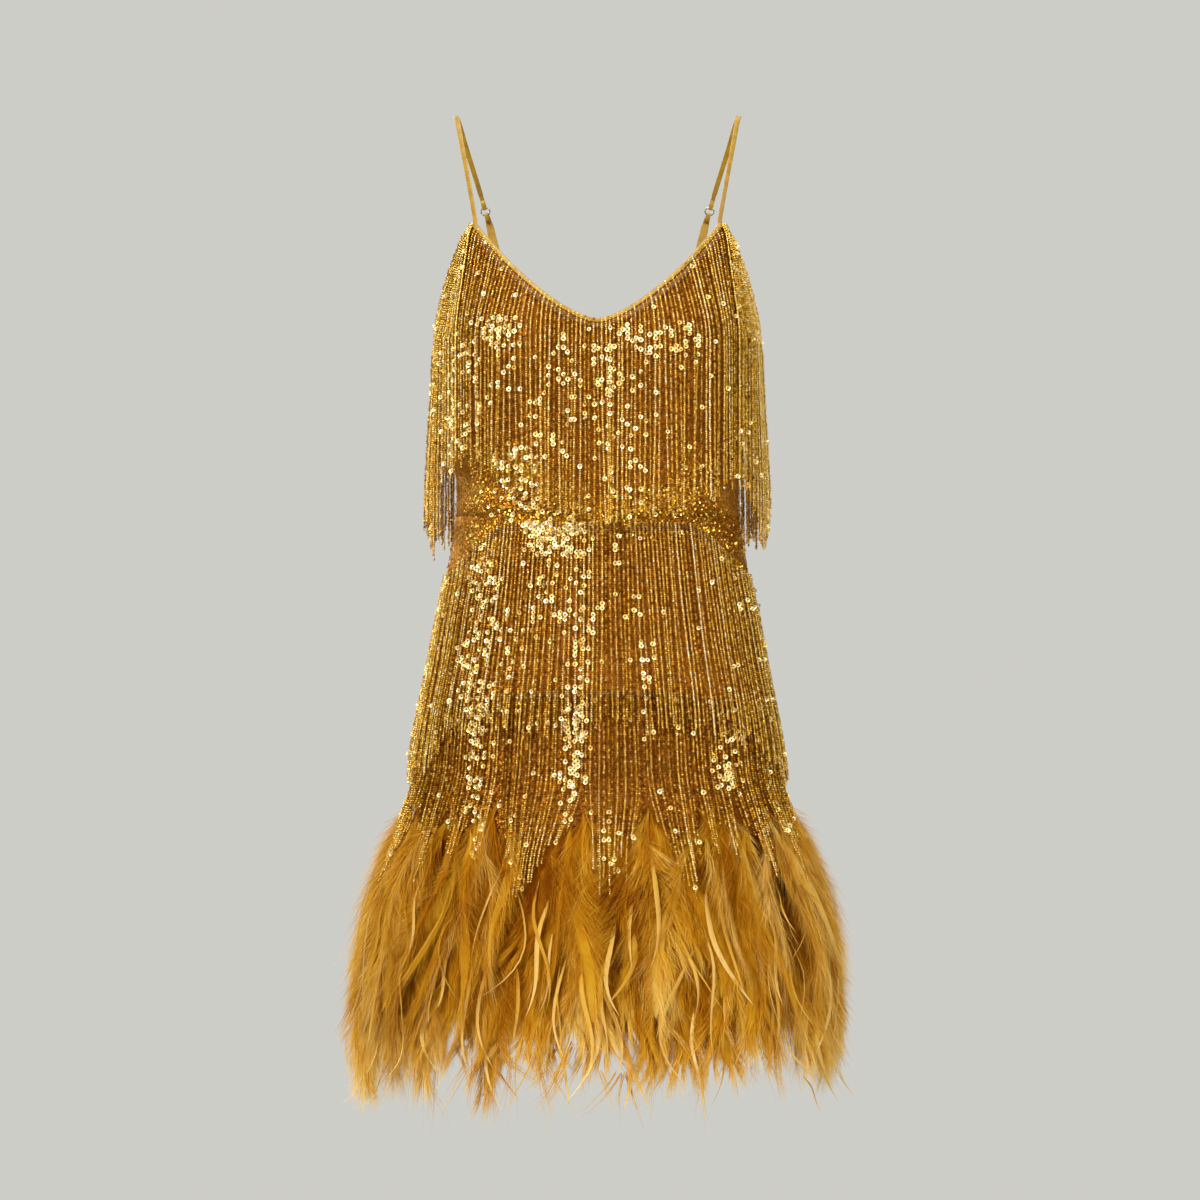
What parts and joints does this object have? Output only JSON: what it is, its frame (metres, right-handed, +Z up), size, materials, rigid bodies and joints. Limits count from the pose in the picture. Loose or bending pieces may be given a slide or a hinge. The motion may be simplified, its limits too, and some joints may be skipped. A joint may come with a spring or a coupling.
{
  "type": "mini dress",
  "caption": "Sleeveless fitted mini dress with thin shoulder straps, a low V neckline, tiers of beaded fringe and a flared feather hem, standing hollow as worn.",
  "frame": {"origin": "middle of the shoulder line, where the underside of the straps rests on the wearer", "axes": "+Z up, the dress faces -Y, +X is the wearer's left side"},
  "size_m": [0.4315, 0.3409, 0.8719],
  "materials": {
    "gold_sequin_cloth": "metallic glitter cloth with small sequins",
    "gold_beads": "gold-lined bead strands",
    "ochre_satin": "satin bias tape",
    "ochre_feather": "dyed wispy feather",
    "ring_metal": "polished wire ring"
  },
  "bodies": {
    "root": {"bodice_front": "gold_sequin_cloth", "bodice_back": "gold_sequin_cloth", "skirt_front": "gold_sequin_cloth", "skirt_back": "gold_sequin_cloth", "neck_binding": "ochre_satin", "arm_binding": "ochre_satin", "neck_fringe": "gold_beads", "arm_fringe": "gold_beads", "hip_fringe_front": "gold_beads", "hip_fringe_back": "gold_beads", "hem_fringe_front": "gold_beads", "hem_fringe_back": "gold_beads", "plume_upper_front": "ochre_feather", "plume_upper_back": "ochre_feather", "plume_lower_front": "ochre_feather", "plume_lower_back": "ochre_feather", "strap_left": "ochre_satin", "strap_right": "ochre_satin", "tab_left": "ochre_satin", "tab_right": "ochre_satin", "ring_left": "ring_metal", "ring_right": "ring_metal"}
  },
  "joints": []
}
